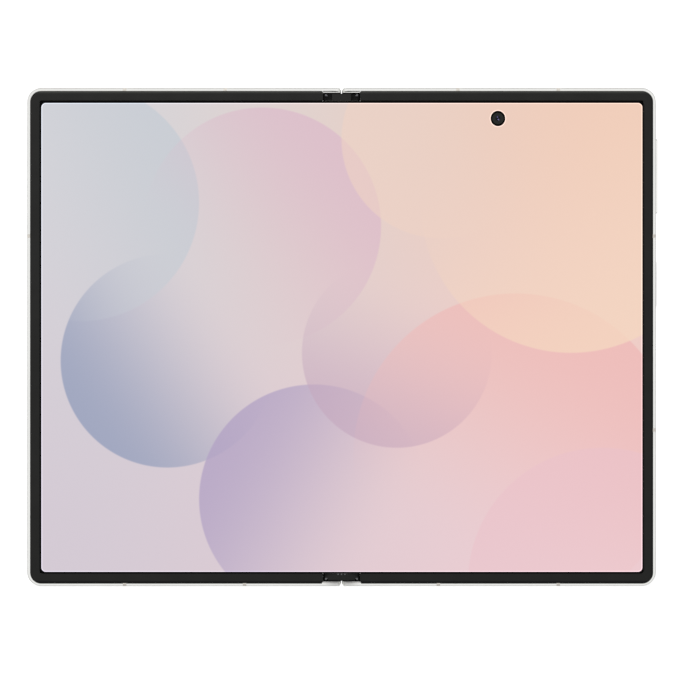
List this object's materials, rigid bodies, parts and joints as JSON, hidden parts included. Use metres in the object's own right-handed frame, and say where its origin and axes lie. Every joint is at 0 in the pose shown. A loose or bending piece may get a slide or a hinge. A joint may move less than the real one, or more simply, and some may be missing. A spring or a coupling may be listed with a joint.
{
  "type": "foldable smartphone",
  "caption": "Book-style foldable smartphone, open and lying on its back, with a geared two-axis fold, a narrow spine, side keys and a card tray.",
  "frame": {"origin": "middle of the fold line, on the surface that the rear camera's lens rings rest on", "axes": "+X across the fold to the half with the keys, +Y along the fold to the edge that is at the top of the open display, +Z out of the inner display"},
  "size_m": [0.1595, 0.126, 0.0069],
  "materials": {
    "frame_metal": "fine satin, anodised",
    "antenna_break": "smooth satin",
    "rear_glass": "matt etched glass over a pale backing",
    "cover_glass": "clear glass over a dark screen",
    "seal": "adhesive",
    "lens_ring": "turned, polished edge",
    "lens": "coated lens glass",
    "camera": "matt black",
    "flash": "clear over a yellow lamp",
    "battery": "foil pouch",
    "copper": "bare copper",
    "board": "satin solder mask",
    "steel": "fine brushed",
    "dark_steel": "fine brushed, blackened",
    "plate": "fine rolled sheet",
    "screen": "smooth flexible screen, lit",
    "bezel": "smooth satin elastomer",
    "hinge_dark": "satin black coating",
    "speaker": "matt",
    "flex": "polyimide film",
    "key_metal": "satin, polished edge"
  },
  "bodies": {
    "main_half": {"main_frame": "frame_metal", "main_antenna_breaks": "antenna_break", "rear_glass": "rear_glass", "rear_glass_seal": "seal", "camera_plinth": "lens_ring", "lens_rings": "lens_ring", "lens_glass": "lens", "rear_cameras": "camera", "flash_window": "flash", "main_battery": "battery", "charging_coil": "copper", "main_board": "board", "board_shields": "steel", "inner_camera": "camera", "usb_socket": "steel", "lower_board": "board", "lower_speaker": "speaker", "upper_speaker": "speaker", "vibration_motor": "steel", "key_flex": "flex", "main_display_plate": "plate", "main_display_panel": "screen", "main_bezel": "bezel", "main_hinge_brackets": "steel", "main_gear_shafts": "steel", "main_bracket_screws": "steel", "main_magnets": "steel"},
    "volume_rocker": {"volume_rocker": "key_metal"},
    "power_key": {"power_key": "key_metal", "fingerprint_sensor": "rear_glass"},
    "hinge_spine": {"spine_cover": "frame_metal", "spine_end_caps": "hinge_dark", "end_cap_clips": "dark_steel", "hinge_blocks": "steel", "hinge_block_screws": "steel", "fold_strip": "screen", "fold_lattice": "plate", "hinge_flex": "flex"},
    "main_idlers": {"main_idler_gears": "steel"},
    "cover_idlers": {"cover_idler_gears": "steel"},
    "cover_half": {"cover_frame": "frame_metal", "cover_antenna_breaks": "antenna_break", "cover_glass": "cover_glass", "cover_glass_seal": "seal", "cover_screen": "cover_glass", "cover_camera": "camera", "earpiece": "speaker", "cover_battery": "battery", "cover_board": "board", "card_reader": "steel", "cover_display_plate": "plate", "cover_display_panel": "screen", "cover_bezel": "bezel", "cover_hinge_brackets": "steel", "cover_gear_shafts": "steel", "cover_bracket_screws": "steel", "cover_magnets": "steel"},
    "card_tray": {"card_tray": "key_metal"}
  },
  "joints": [
    {"name": "main_fold", "type": "hinge", "parent": "hinge_spine", "child": "main_half", "pos_m": [0.002, 0, 0.0051], "axis": [0, -1, 0], "range_deg": [0, 90], "deforming": ["fold_strip", "fold_lattice", "hinge_flex"]},
    {"name": "cover_fold", "type": "hinge", "parent": "hinge_spine", "child": "cover_half", "pos_m": [-0.002, 0, 0.0051], "axis": [0, 1, 0], "range_deg": [0, 90], "deforming": ["fold_strip", "fold_lattice", "hinge_flex"]},
    {"name": "main_idler_turn", "type": "hinge", "parent": "hinge_spine", "child": "main_idlers", "pos_m": [0.00067, 0, 0.0051], "axis": [0, 1, 0], "range_deg": [0, 90]},
    {"name": "cover_idler_turn", "type": "hinge", "parent": "hinge_spine", "child": "cover_idlers", "pos_m": [-0.00067, 0, 0.0051], "axis": [0, 1, 0], "range_deg": [-90, 0]},
    {"name": "volume_press", "type": "slide", "parent": "main_half", "child": "volume_rocker", "axis": [-1, 0, 0], "range_m": [0, 0.0002], "stiffness_N_per_m": 8000},
    {"name": "power_press", "type": "slide", "parent": "main_half", "child": "power_key", "axis": [-1, 0, 0], "range_m": [0, 0.0002], "stiffness_N_per_m": 8000},
    {"name": "tray_pull", "type": "slide", "parent": "cover_half", "child": "card_tray", "axis": [0, -1, 0], "range_m": [0, 0.016]}
  ],
  "couplings": [
    {"joint": "cover_fold", "follows": "main_fold", "ratio": 1},
    {"joint": "main_idler_turn", "follows": "main_fold", "ratio": 1},
    {"joint": "cover_idler_turn", "follows": "main_fold", "ratio": -1}
  ]
}
